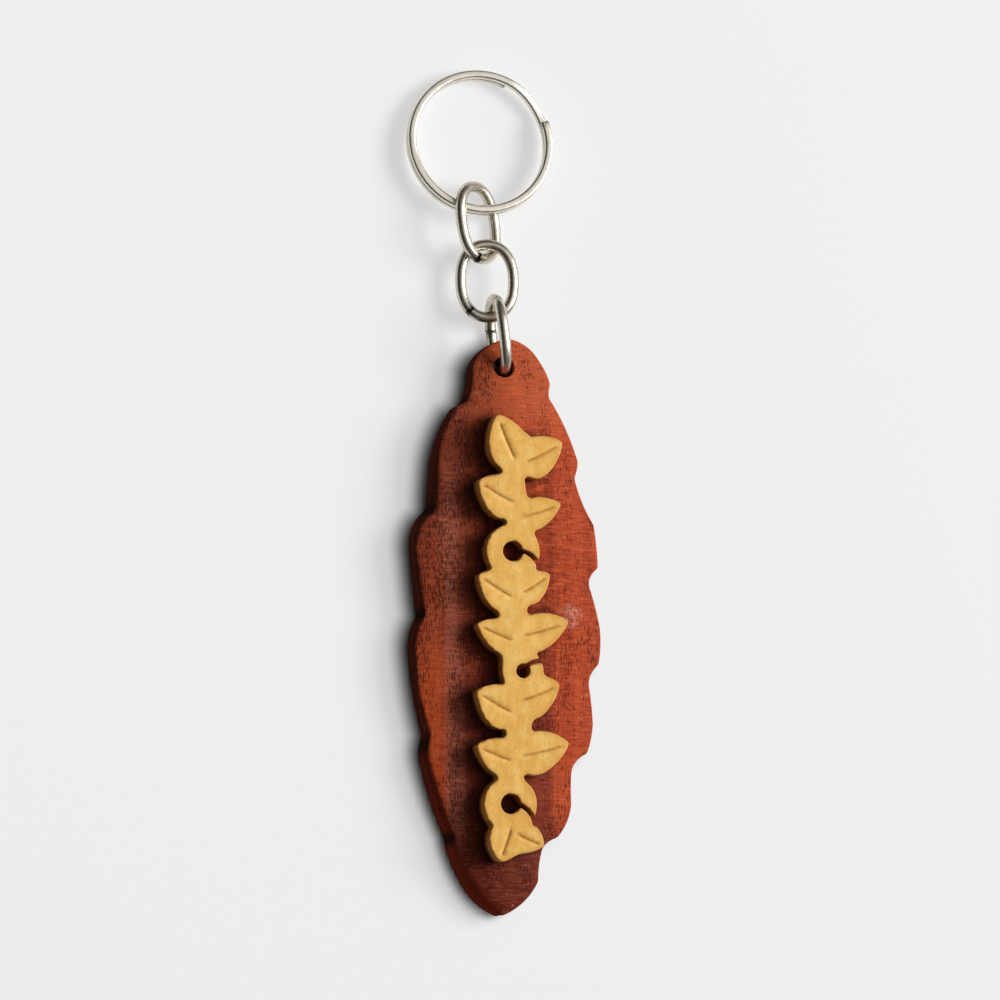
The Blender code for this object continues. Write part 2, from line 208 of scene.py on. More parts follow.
# Split ring: two coils of one wire, stepping down between two angles.
RING_R = 11.95
RING_WIRE = (1.4, 1.3)
RING_CORNER = 0.42
RING_GAP = 0.03
RING_CENTRE = (-3.305, 38.574, 2.478)
RING_TILT = 5.355
RING_TILT_AXIS = 15.0
RING_TOP_END = 20.5
RING_LOW_END = 64.0
RING_STEP = 1.25
RING_END_PART = 0.006
RING_END_ROUND = 0.15
# Degrees left free between the wire's ends and the places named above.
RING_START = 0.75
RING_SHORT = 2.25

# Floor: far reach, extent and cell of the fine net near the tag.
FLOOR_REACH = 4000.0
FLOOR_X = (-26, 26)
FLOOR_Y = (-100, 12)
FLOOR_CELL = 0.8
# Painted contact shade on the floor: shift to the left, and distances from the tag where it starts and ends,
# along the tag.
FLOOR_LEE = 1.0
CONTACT_AT = (60, 80)
CONTACT_FROM = (-1.6, -1.2)
CONTACT_TO = (2.6, 1.6)

# Light and camera
KEY_LIGHT = dict(bearing=10.0, height=40.0, distance=1.1, size=(0.6, 0.5), power=13.2,
                 colour=(1.0, 0.985, 0.96))
VIEW_WEST = 15.0
VIEW_SOUTH = 8.0
VIEW_DISTANCE = 0.90
VIEW_FIELD = 0.1677
VIEW_CENTRE = (-1.17, -23.44, 7.9)


# ---------------------------------------------------------------- small helpers

def turn_about(axis, degrees):
    """Rotation matrix about an axis."""
    return np.array(Matrix.Rotation(math.radians(degrees), 3, Vector(axis)))


def smooth_step(value, low, high):
    t = np.clip((value - low) / (high - low), 0, 1)
    return t * t * (3 - 2 * t)


def wobble(points, size, seed):
    """Smooth noise from -1 to 1 at plan points, with features of a size in millimetres."""
    offset = Vector((seed * 17.3, seed * 5.1, seed * 9.7))
    return np.array([noise.noise(Vector((p[0], p[1], p[2] if len(p) > 2 else 0.0)) / size + offset)
                     for p in points])


def run_length(path):
    """Length along a line of points, from its start to each of them."""
    return np.concatenate([[0], np.cumsum(np.linalg.norm(np.diff(path, axis=0), axis=1))])


def net(xs, ys, shift):
    """Points of a net in which every other row is shifted."""
    return np.array([(x + (k % 2) * shift, y) for k, y in enumerate(ys) for x in xs])


def make_piece(name, points, faces, materials, body, nodes, attributes, second=None):
    """Smooth mesh from plan millimetres that rides on a body and stands for CAD nodes.

    attributes holds values at the points, and second says which faces take the second material.
    """
    world = (np.asarray(points, float) * MM) + SHIFT
    mesh = bpy.data.meshes.new(name)
    mesh.from_pydata(world.tolist(), [], [tuple(int(i) for i in f) for f in faces])
    mesh.update()
    mesh.shade_smooth()
    mesh.set_sharp_from_angle(angle=math.radians(50.0))
    for key, values in attributes.items():
        values = np.asarray(values, np.float32)
        kind = "FLOAT_VECTOR" if values.ndim == 2 else "FLOAT"
        layer = mesh.attributes.new(key, kind, "POINT")
        layer.data.foreach_set("vector" if values.ndim == 2 else "value", values.ravel())
    for material in materials:
        mesh.materials.append(material)
    if second is not None:
        mesh.polygons.foreach_set("material_index", np.asarray(second, np.int32))
    ob = bpy.data.objects.new(name, mesh)
    bpy.context.scene.collection.objects.link(ob)
    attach(ob, body)
    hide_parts(*nodes)


# ---------------------------------------------------------------- flat outlines

def arc_points(p, q, rise, step):
    """Points from p up to q, not with q, on an arc that rises to the left of the way."""
    chord = math.dist(p, q)
    count = max(2, math.ceil(chord / step))
    along = ((q[0] - p[0]) / chord, (q[1] - p[1]) / chord)
    radius = (chord * chord / 4 + rise * rise) / (2 * abs(rise))
    points = []
    for k in range(count):
        run = k / count * chord
        off = run - chord / 2
        bow = math.copysign(max(0.0, math.sqrt(radius * radius - off * off) - radius + abs(rise)), rise)
        points.append((p[0] + along[0] * run - along[1] * bow, p[1] + along[1] * run + along[0] * bow))
    return points


def tag_outline():
    loop = []
    for i, (x, y, rise) in enumerate(OUTLINE):
        nx, ny, _ = OUTLINE[(i + 1) % len(OUTLINE)]
        loop += arc_points((x, y), (nx, ny), rise, OUTLINE_STEP)
    return np.array(loop)


def soften(loop, rounds):
    """Loop with its corners worn: each round averages a point with its neighbours."""
    for _ in range(rounds):
        loop = 0.5 * loop + 0.25 * (np.roll(loop, 1, axis=0) + np.roll(loop, -1, axis=0))
    return loop


def inward(loop):
    """Unit directions to the inner side of a clockwise loop."""
    run = np.roll(loop, -1, axis=0) - np.roll(loop, 1, axis=0)
    run /= np.linalg.norm(run, axis=1)[:, None]
    return np.stack([run[:, 1], -run[:, 0]], 1)


def distance_to_loop(points, loop):
    a = loop
    ab = np.roll(loop, -1, axis=0) - a
    best = np.full(len(points), np.inf)
    for start, edge in zip(a, ab):
        offset = points - start
        t = np.clip((offset @ edge) / (edge @ edge), 0, 1)
        best = np.minimum(best, np.linalg.norm(offset - np.outer(t, edge), axis=1))
    return best


def inside_loop(points, loop):
    x, y = points[:, 0], points[:, 1]
    hit = np.zeros(len(points), bool)
    for (x1, y1), (x2, y2) in zip(loop, np.roll(loop, -1, axis=0)):
        cross = (y1 > y) != (y2 > y)
        if cross.any():
            hit ^= cross & (x < (x2 - x1) * (y - y1) / (y2 - y1 + 1e-30) + x1)
    return hit


def outline_field(points, loop):
    """Distance to a closed outline, negative inside it."""
    gap = distance_to_loop(points, loop)
    return np.where(inside_loop(points, loop), -gap, gap)


def inside_loops(points, loops):
    """Whether points are inside the first loop and outside the others."""
    keep = inside_loop(points, loops[0])
    for hole in loops[1:]:
        keep &= ~inside_loop(points, hole)
    return keep


def fill_loops(loops, extra):
    """Triangles that fill the first loop, less the others, through the extra points."""
    points = []
    edges = []
    for loop in loops:
        first = len(points)
        points.extend([Vector(p) for p in loop])
        edges.extend([(first + i, first + (i + 1) % len(loop)) for i in range(len(loop))])
    points.extend([Vector(p) for p in extra])
    out, _, triangles, _, _, _ = delaunay_2d_cdt(points, edges, [], 0, 1e-6)
    flat = np.array([(v.x, v.y) for v in out])
    triangles = np.array(triangles)
    triangles = triangles[inside_loops(flat[triangles].mean(axis=1), loops)]
    a, b, c = flat[triangles[:, 0]], flat[triangles[:, 1]], flat[triangles[:, 2]]
    area = (b[:, 0] - a[:, 0]) * (c[:, 1] - a[:, 1]) - (b[:, 1] - a[:, 1]) * (c[:, 0] - a[:, 0])
    triangles[area < 0] = triangles[area < 0][:, ::-1]
    return flat, triangles


def rounded_edge(distance, radius):
    """Drop of a rounded edge at a distance from the outline."""
    rest = np.clip(radius - distance, 0, radius)
    return radius - np.sqrt(np.maximum(radius * radius - rest * rest, 0))


def wall_faces(upper, lower, outside):
    """Quads between two rings of vertex numbers that run clockwise seen from above."""
    count = len(upper)
    faces = [(lower[i], upper[i], upper[(i + 1) % count], lower[(i + 1) % count]) for i in range(count)]
    return faces if outside else [f[::-1] for f in faces]


def fade_at_rims(t):
    """From 0 at both rims of a wall to 1 in its middle."""
    return min(1.0, 6 * t * (1 - t))


def plate(loops, extra, top_of, bottom_of, rows, push):
    """Closed plate over clockwise loops: a front and a back surface and walls in rows between them.

    The first loop is the outside and the others are holes. push moves wall points sideways.
    """
    flat, triangles = fill_loops(loops, extra)
    count = len(flat)
    top = np.column_stack([flat, top_of(flat)])
    bottom = np.column_stack([flat, bottom_of(flat)])
    faces = [tuple(t) for t in triangles] + [tuple(t[::-1] + count) for t in triangles]
    points = [top, bottom]
    total = 2 * count
    first = 0
    for which, loop in enumerate(loops):
        size = len(loop)
        upper = list(range(first, first + size))
        previous = upper
        out = -inward(loop) if which == 0 else inward(loop)
        for row in range(1, rows):
            t = row / rows
            ring = top[upper] * (1 - t) + bottom[upper] * t
            ring[:, :2] += out * push(ring, t)[:, None]
            current = list(range(total, total + size))
            points.append(ring)
            faces += wall_faces(previous, current, which == 0)
            previous = current
            total += size
        faces += wall_faces(previous, [i + count for i in upper], which == 0)
        first += size
    return np.concatenate(points), faces


# ---------------------------------------------------------------- tag

def place_on_tag(points):
    """From the tag's own frame, with its back face at z = 0, to where it lies."""
    tilt = math.degrees(math.atan2(-TAG_NORMAL.y, TAG_NORMAL.z))
    placed = np.asarray(points, float) @ turn_about((1, 0, 0), tilt).T
    placed[:, 2] += math.sin(math.radians(tilt)) * -TAG_TIP_Y
    return placed


def from_hole(points):
    return np.hypot(points[:, 0] - HOLE_AT[0], points[:, 1] - HOLE_AT[1]) - HOLE_R


def build_tag(face_material, wall_material):
    outer = soften(tag_outline(), 1)
    middle = np.array(HOLE_AT)
    hole_at = -2 * math.pi * np.arange(HOLE_STEPS) / HOLE_STEPS
    hole_way = np.stack([np.cos(hole_at), np.sin(hole_at)], 1)
    hole = middle + hole_way * HOLE_R
    near = [outer + inward(outer) * d for d in EDGE_ROWS]
    near += [middle + hole_way * (HOLE_R + d) for d in HOLE_ROWS]
    grid = net(np.arange(*TAG_NET_X), np.arange(*TAG_NET_Y), TAG_NET_SHIFT)
    grid = grid[inside_loop(grid, outer)]
    grid = grid[distance_to_loop(grid, outer) > TAG_NET_CLEAR]
    extra = np.concatenate(near + [grid])
    extra = extra[inside_loop(extra, outer)]
    edge = distance_to_loop(extra, outer)
    extra = extra[(edge > 0.03) & (from_hole(extra) > 0.06)]

    def left_slope(flat, gap):
        """Drop along edges that face left, where a step to the right leads deeper into the wood."""
        deeper = -outline_field(flat + (SLOPE_PROBE, 0), outer) - gap
        facing = np.clip(deeper / SLOPE_PROBE, 0, 1)
        width = np.interp(-flat[:, 1], SLOPE_AT, SLOPE_WIDTH)
        return facing * SLOPE_FALL * np.clip(width - gap, 0, None)

    def front(flat):
        gap = distance_to_loop(flat, outer)
        rim = from_hole(flat)
        drop = left_slope(flat, gap) + CROWN_DROP * np.clip(1 - gap / CROWN_REACH, 0, 1) ** 2
        drop += TOP_DROP * smooth_step(flat[:, 1], *TOP_RANGE)
        radius = EDGE_ROUND + TIP_ROUND * smooth_step(-flat[:, 1], *TIP_RANGE)
        drop += rounded_edge(gap, radius) + rounded_edge(rim, HOLE_FRONT_ROUND)
        drop += 0.05 + 0.05 * wobble(flat, 9.0, 1) + 0.02 * wobble(flat, 3.0, 2)
        return TAG_THICK - drop

    def back(flat):
        gap = distance_to_loop(flat, outer)
        return rounded_edge(gap, BACK_ROUND) + rounded_edge(from_hole(flat), HOLE_BACK_ROUND)

    def push(ring, t):
        if from_hole(ring).max() < 0.5:
            return 0 * ring[:, 0]
        saw = wobble(ring * (1, 1, 0.25), 0.9, 3) * 0.05 + wobble(ring, 4.0, 4) * 0.06
        return (saw - 0.05) * fade_at_rims(t)

    points, faces = plate([outer, hole], extra, front, back, WALL_ROWS, push)
    gap = distance_to_loop(points[:, :2], outer)
    height = points[:, 2]
    top_z = TAG_THICK - CROWN_DROP * np.clip(1 - gap / CROWN_REACH, 0, 1) ** 2
    top_z -= TOP_DROP * smooth_step(points[:, 1], *TOP_RANGE)
    worn = smooth_step(left_slope(points[:, :2], gap), 0.02, 0.22) * (height > TAG_THICK / 2)
    wall = np.maximum(smooth_step(top_z - height, 0.35, 1.3), worn)
    burn = np.zeros(len(points))
    for x, y, size in BURNS:
        away = np.hypot(points[:, 0] - x, points[:, 1] - y)
        burn = np.maximum(burn, 1 - smooth_step(away, 0.2 * size, size))
    # Painted shadow of the ornament: darker beside its foot, leaning to the left.
    lee = points[:, :2] + (PAINTED_SHADE_LEAN, 0)
    grime_and_painted_shade = (1 - smooth_step(ornament_field(lee), -0.6, PAINTED_SHADE_REACH)) * (1 - wall)
    layers = {"plan": points, "wall": wall, "burn": burn, "grime_and_painted_shade": grime_and_painted_shade}
    on_wall = [wall[list(face)].max() > 0.1 for face in faces]
    make_piece("carved_tag", place_on_tag(points), faces, [face_material, wall_material], "tag",
               ["tag_board"], layers, on_wall)


# ---------------------------------------------------------------- ornament

def stem_x(y):
    return STEM_MIDDLE + STEM_WAVE * math.sin(2 * math.pi * (y - STEM_TOP) / STEM_PERIOD)


def stem_outline():
    """Closed outline of the wavy stem, tapered to both ends."""
    left, right = [], []
    for k in range(STEM_STEPS + 1):
        y = STEM_TOP + (STEM_END - STEM_TOP) * k / STEM_STEPS
        half = STEM_HALF * (0.75 + 0.25 * math.sin(math.pi * k / STEM_STEPS))
        right.append((stem_x(y) + half, y))
        left.append((stem_x(y) - half, y))
    return np.array(right + left[::-1])


def leaf_outline(foot_x, foot_y, degrees, length, width):
    """Closed outline of a leaf, round at its foot, pointed at its end and bent upwards."""
    t = math.radians(degrees)
    side = []
    for k in range(LEAF_POINTS + 1):
        u = 0.5 - 0.5 * math.cos(math.pi * k / LEAF_POINTS)
        half = width / 2 * math.sin(math.pi * u ** LEAF_WIDEST) ** LEAF_FULL
        side.append((u * length, half))
    lower = [(u, -v) for u, v in side[1:-1]]
    bend = LEAF_BEND * math.cos(t) / length
    loop = []
    for u, v in side + lower[::-1]:
        v += bend * u * u
        loop.append((foot_x + u * math.cos(t) - v * math.sin(t), foot_y + u * math.sin(t) + v * math.cos(t)))
    return np.array(loop)


def leaf_vein(foot_x, foot_y, degrees, length, _):
    """Points along the middle of a leaf, and the direction across it."""
    t = math.radians(degrees)
    u = np.arange(VEIN_FROM * length, VEIN_TO * length, VEIN_STEP)
    v = LEAF_BEND * math.cos(t) / length * u * u
    way = np.array((math.cos(t), math.sin(t)))
    across = np.array((-way[1], way[0]))
    return np.array((foot_x, foot_y)) + u[:, None] * way + v[:, None] * across, across


def vein_gap(points):
    """Distance to the nearest leaf vein."""
    lines = [leaf_vein(*leaf)[0] for leaf in LEAVES]
    return np.min([distance_to_loop(points, np.concatenate([v, v[-2:0:-1]])) for v in lines], axis=0)


def slit_outline(cx, cy, mean, half, opening):
    """Closed outline of the narrow cut that runs from a curl's eye out through its rim."""
    inner = mean - half * 1.15
    left, right = [], []
    for k in range(SLIT_STEPS + 1):
        t = k / SLIT_STEPS
        reach = inner + half * 2.6 * t
        wide = CURL_OPENING / 2 * (1 + 0.75 * t) / reach
        a = math.radians(opening + SLIT_SWEEP * (1 - t))
        left.append((cx + reach * math.cos(a + wide), cy + reach * math.sin(a + wide)))
        right.append((cx + reach * math.cos(a - wide), cy + reach * math.sin(a - wide)))
    return np.array(left + right[::-1])


def blend(a, b, reach):
    """Smooth union of two distance fields."""
    h = np.clip(0.5 + 0.5 * (b - a) / reach, 0, 1)
    return b * (1 - h) + a * h - reach * h * (1 - h)


def ornament_field(points):
    """Distance to the ornament's outline, negative inside the wood."""
    field = outline_field(points, stem_outline())
    for leaf in LEAVES:
        field = blend(field, outline_field(points, leaf_outline(*leaf)), ORN_BLEND)
    for cx, cy, mean, half, _ in CURLS:
        from_eye = np.hypot(points[:, 0] - cx, points[:, 1] - cy)
        field = blend(field, from_eye - (mean + half * 0.9), ORN_BLEND)
    for cx, cy, mean, half, opening in CURLS:
        from_eye = np.hypot(points[:, 0] - cx, points[:, 1] - cy)
        field = np.maximum(field, mean - half - from_eye)
        slit = outline_field(points, slit_outline(cx, cy, mean, half, opening))
        field = np.maximum(field, -slit)
    return field


def contour_loops(values, xs, ys):
    """Closed zero lines of a field on a grid, with the negative side to the right of travel."""
    f = np.where(np.abs(values) < 1e-6, 1e-6, values)
    links = {}
    cells = np.minimum(np.minimum(f[:-1, :-1], f[1:, :-1]), np.minimum(f[:-1, 1:], f[1:, 1:])) < 0
    cells &= np.maximum(np.maximum(f[:-1, :-1], f[1:, :-1]), np.maximum(f[:-1, 1:], f[1:, 1:])) > 0
    for r, c in np.argwhere(cells):
        corner = (f[r, c], f[r, c + 1], f[r + 1, c + 1], f[r + 1, c])
        keys = (("h", r, c), ("v", r, c + 1), ("h", r + 1, c), ("v", r, c))
        cuts = [k for k in range(4) if (corner[k] < 0) != (corner[(k + 1) % 4] < 0)]
        entries = [k for k in cuts if corner[(k + 1) % 4] >= 0]
        for k in entries:
            if len(cuts) == 2:
                out = cuts[0] if cuts[1] == k else cuts[1]
            else:
                out = (k + 3) % 4 if sum(corner) >= 0 else (k + 1) % 4
            links[keys[out]] = keys[k]
    loops = []
    while links:
        start = next(iter(links))
        chain = [start]
        key = links.pop(start)
        while key != start:
            chain.append(key)
            key = links.pop(key)
        points = []
        for kind, r, c in chain:
            if kind == "h":
                t = f[r, c] / (f[r, c] - f[r, c + 1])
                points.append((xs[c] + t * (xs[1] - xs[0]), ys[r]))
            else:
                t = f[r, c] / (f[r, c] - f[r + 1, c])
                points.append((xs[c], ys[r] + t * (ys[1] - ys[0])))
        loops.append(np.array(points))
    return loops


def loop_area(loop):
    x, y = loop[:, 0], loop[:, 1]
    return 0.5 * float((x * np.roll(y, -1) - y * np.roll(x, -1)).sum())


def even_loop(loop, step):
    """The same closed line with its points a step apart."""
    closed = np.concatenate([loop, loop[:1]])
    along = run_length(closed)
    count = max(8, int(round(along[-1] / step)))
    at = np.arange(count) * along[-1] / count
    return np.stack([np.interp(at, along, closed[:, 0]), np.interp(at, along, closed[:, 1])], 1)


def build_ornament(material):
    xs = np.arange(*ORN_X, ORN_GRID)
    ys = np.arange(*ORN_Y, ORN_GRID)
    gx, gy = np.meshgrid(xs, ys)
    cells = np.column_stack([gx.ravel(), gy.ravel()])
    worn = 0.07 * wobble(cells, 2.6, 5)
    values = (ornament_field(cells) + worn).reshape(gx.shape)
    loops = [v for v in contour_loops(values, xs, ys) if abs(loop_area(v)) > ORN_SMALLEST]
    loops.sort(key=lambda v: -abs(loop_area(v)))
    loops = [v if loop_area(v) < 0 else v[::-1] for v in loops]
    loops = [soften(even_loop(v, ORN_EDGE_STEP), 2) for v in loops]

    def gap_to_edge(flat):
        return np.min([distance_to_loop(flat, loop) for loop in loops], axis=0)

    extra = []
    for number, loop in enumerate(loops):
        way = inward(loop) if number == 0 else -inward(loop)
        extra += [loop + way * d for d in ORN_EDGE_ROWS]
    grid = net(np.arange(*ORN_X, ORN_NET_STEP[0]), np.arange(*ORN_Y, ORN_NET_STEP[1]), ORN_NET_SHIFT)
    grid = grid[vein_gap(grid) > VEIN_NET_GAP]
    for leaf in LEAVES:
        line, across = leaf_vein(*leaf)
        extra += [line + across * d for d in VEIN_ROWS]
    extra = np.concatenate(extra + [grid])
    extra = extra[inside_loops(extra, loops)]
    extra = extra[gap_to_edge(extra) > 0.04]

    def vein_mark(flat):
        """1 along the leaf veins, 0 away from them."""
        near_line = 1 - smooth_step(vein_gap(flat), *VEIN_HALF)
        return near_line * smooth_step(gap_to_edge(flat), *VEIN_CLEAR)

    def front(flat):
        drop = rounded_edge(gap_to_edge(flat), ORN_ROUND) + VEIN_DEPTH * vein_mark(flat)
        return ORN_TOP - 0.03 - drop + 0.03 * wobble(flat, 6.0, 6)

    def back(flat):
        return np.full(len(flat), TAG_THICK - ORN_SUNK)

    def push(ring, t):
        return (wobble(ring * (1, 1, 0.3), 0.8, 7) * 0.05 - 0.03) * fade_at_rims(t)

    points, faces = plate(loops, extra, front, back, ORN_WALL_ROWS, push)
    wall = smooth_step(ORN_TOP - points[:, 2], 0.3, 0.9)
    # Band near the foot of the walls, where the material paints shade.
    foot = smooth_step(ORN_TOP - points[:, 2], 1.6, 3.4)
    flat = points[:, :2]
    # Whether the edge faces right or left; the material paints shade on the edges that face left.
    step = np.array((FACING_PROBE, 0.0))
    faces_right = (ornament_field(flat + step) - ornament_field(flat - step)) / (2 * FACING_PROBE)
    layers = {"plan": points, "wall": wall, "foot": foot, "edge": gap_to_edge(flat),
              "faces_right": faces_right, "vein": vein_mark(flat)}
    make_piece("vine_relief", place_on_tag(points), faces, [material], "tag",
               ["vine_ornament"], layers)


# ---------------------------------------------------------------- chain and ring

def sweep(path, side, up, section, scale):
    """Closed tube: the section at each path point, in its side and up directions, at a scale."""
    count, around = len(path), len(section)
    rings = path[:, None, :] + (side[:, None, :] * section[None, :, 0, None]
                                + up[:, None, :] * section[None, :, 1, None]) * scale[:, None, None]
    faces = []
    for i in range(count - 1):
        for j in range(around):
            k = (j + 1) % around
            faces.append((i * around + j, i * around + k, (i + 1) * around + k, (i + 1) * around + j))
    faces.append(tuple(range(around))[::-1])
    faces.append(tuple((count - 1) * around + j for j in range(around)))
    return rings.reshape(-1, 3), faces


def wire_layers(path, section):
    """Length along the wire, place around it and closeness to its ends, at each vertex."""
    along = run_length(path)
    turn = np.arctan2(section[:, 1], section[:, 0])
    grid = np.empty((len(path), len(section), 3))
    grid[:, :, 0] = along[:, None]
    grid[:, :, 1] = np.cos(turn)[None, :]
    grid[:, :, 2] = np.sin(turn)[None, :]
    end = np.minimum(along, along[-1] - along)
    tip = 1 - smooth_step(end, 0.2, 1.5)
    return {"wire": grid.reshape(-1, 3), "tip": np.repeat(tip, len(section))}


def worn_ends(path, reach):
    """Scale of the section that rounds off both ends of a wire."""
    along = run_length(path)
    end = np.minimum(along, along[-1] - along)
    rest = np.clip(1 - end / reach, 0, 1)
    return 0.88 + 0.12 * np.sqrt(1 - rest * rest)


def end_stops(count, reach):
    """Places from 0 to 1 along a wire, crowded at both ends."""
    middle = np.linspace(0, 1, count)
    close = reach * np.array([0.08, 0.2, 0.36, 0.56, 0.8])
    return np.unique(np.concatenate([middle, close, 1 - close]))


def link_frame(where):
    """Columns: width, long direction and normal of a link."""
    lean = math.radians(where["lean"])
    rise = math.radians(where["rise"])
    turn = math.radians(where["turn"])
    along = np.array((-math.sin(lean) * math.cos(rise), math.cos(lean) * math.cos(rise), math.sin(rise)))
    width = np.array((math.cos(lean) * math.cos(turn), math.sin(lean) * math.cos(turn), math.sin(turn)))
    width -= along * (width @ along)
    width /= np.linalg.norm(width)
    return np.stack([width, along, np.cross(width, along)], 1)


def link_radius(t):
    """Distance from the middle of a link to its wire's centre line, at an angle from the long axis."""
    c, s = np.abs(np.cos(t)), np.abs(np.sin(t))
    return ((c / LINK_A) ** LINK_POWER + (s / LINK_B) ** LINK_POWER) ** (-1 / LINK_POWER)


def build_link(node, body, material, seed):
    """Oval wire link with a seam; seed shifts its pattern of wear."""
    where = LINKS[node]
    half = where["gap"] / 2 / LINK_B
    stops = end_stops(LINK_STEPS, LINK_END_PART)
    t = math.radians(where["seam"]) + half + (2 * math.pi - 2 * half) * stops
    radius = link_radius(t)
    flat = np.stack([-radius * np.sin(t), radius * np.cos(t), 0 * t], 1)
    flat[:, 2] += LINK_END_STEP * smooth_step(stops, *LINK_STEP_RANGE)
    run = np.gradient(flat, axis=0)
    run /= np.linalg.norm(run, axis=1)[:, None]
    up = np.tile((0.0, 0.0, 1.0), (len(t), 1))
    side = np.cross(up, run)
    a = 2 * math.pi * np.arange(WIRE_SIDES) / WIRE_SIDES
    section = np.stack([WIRE_R * np.cos(a), WIRE_R * np.sin(a)], 1)
    spin = link_frame(where)
    verts, faces = sweep(flat @ spin.T + np.array(where["centre"]), side @ spin.T, up @ spin.T, section,
                         worn_ends(flat, LINK_END_ROUND))
    layers = wire_layers(flat, section)
    layers["wire"] = layers["wire"] + np.array((seed * 40.0, 0, 0))
    # Painted shade on the part of the link that lies in the tag's hole.
    layers["under"] = (1 - smooth_step(verts[:, 2], *SHADE_Z)) * (1 - smooth_step(verts[:, 1], *SHADE_Y))
    make_piece(f"wire_{node}", verts, faces, [material], body, [node], layers)


def ring_section():
    """Rounded rectangle, radial by axial."""
    w, h = RING_WIRE[0] / 2 - RING_CORNER, RING_WIRE[1] / 2 - RING_CORNER
    points = []
    for cx, cy, start in ((w, h, 0), (-w, h, 90), (-w, -h, 180), (w, -h, 270)):
        for k in range(7):
            a = math.radians(start + 15 * k)
            points.append((cx + RING_CORNER * math.cos(a), cy + RING_CORNER * math.sin(a)))
    return np.array(points)


def ring_level(degrees):
    """Height of the wire's centre; the wire runs clockwise from the end of its upper coil."""
    half = (RING_WIRE[1] + RING_GAP) / 2
    upper = 360.0 - (RING_LOW_END - RING_TOP_END)
    return half * (1 - 2 * smooth_step(degrees, upper, 360.0))


def build_ring(material):
    length = 720.0 - (RING_LOW_END - RING_TOP_END) - RING_SHORT
    stops = end_stops(round(length / RING_STEP), RING_END_PART)
    degrees = RING_START + length * stops
    angle = np.radians(RING_TOP_END - degrees)
    out = np.stack([np.cos(angle), np.sin(angle), 0 * angle], 1)
    path = out * RING_R
    path[:, 2] = ring_level(degrees)
    up = np.tile((0.0, 0.0, 1.0), (len(degrees), 1))
    a = math.radians(RING_TILT_AXIS)
    spin = turn_about((math.cos(a), math.sin(a), 0), -RING_TILT)
    section = ring_section()
    verts, faces = sweep(path @ spin.T + np.array(RING_CENTRE), out @ spin.T, up @ spin.T, section,
                         worn_ends(path, RING_END_ROUND))
    make_piece("wire_split_ring", verts, faces, [material], "ring", ["split_ring"],
               wire_layers(path, section))


# ---------------------------------------------------------------- materials

def add_node(tree, kind, inputs=None, **settings):
    node = tree.nodes.new(kind)
    for key, value in settings.items():
        setattr(node, key, value)
    for key, value in (inputs or {}).items():
        if isinstance(value, bpy.types.NodeSocket):
            tree.links.new(value, node.inputs[key])
        else:
            node.inputs[key].default_value = value
    return node


def attribute(tree, name, output="Fac"):
    return add_node(tree, "ShaderNodeAttribute", attribute_name=name).outputs[output]


def speckle(tree, vector, per_mm, detail, rough):
    """Noise from 0 to 1 with its own number of features per millimetre along each axis."""
    scaled = add_node(tree, "ShaderNodeMapping", {"Vector": vector, "Scale": per_mm})
    return add_node(tree, "ShaderNodeTexNoise", {
        "Vector": scaled.outputs[0], "Scale": 1.0, "Detail": detail, "Roughness": rough}).outputs["Fac"]


def fade(tree, value, low, high, to_low=0.0, to_high=1.0):
    """Smooth step between two results as a value goes from low to high, in either direction."""
    return add_node(tree, "ShaderNodeMapRange", {
        "Value": value, "From Min": low, "From Max": high, "To Min": to_low, "To Max": to_high},
        interpolation_type="SMOOTHSTEP").outputs[0]


def calc(tree, operation, a, b):
    return add_node(tree, "ShaderNodeMath", {0: a, 1: b}, operation=operation).outputs[0]


def tint(tree, amount, below, above):
    """Colour that goes from one to the other by an amount."""
    below = below if isinstance(below, bpy.types.NodeSocket) else (*below, 1.0)
    above = above if isinstance(above, bpy.types.NodeSocket) else (*above, 1.0)
    return add_node(tree, "ShaderNodeMix", {0: amount, 6: below, 7: above},
                    data_type="RGBA", blend_type="MIX").outputs[2]


def start_material(name):
    material = bpy.data.materials.new(name)
    material.use_nodes = True
    tree = material.node_tree
    return material, tree, tree.nodes["Principled BSDF"]


def set_bump(tree, shader, height, depth_mm):
    bump = add_node(tree, "ShaderNodeBump", {
        "Height": height, "Distance": depth_mm * MM, "Strength": 1.0})
    tree.links.new(bump.outputs[0], shader.inputs["Normal"])


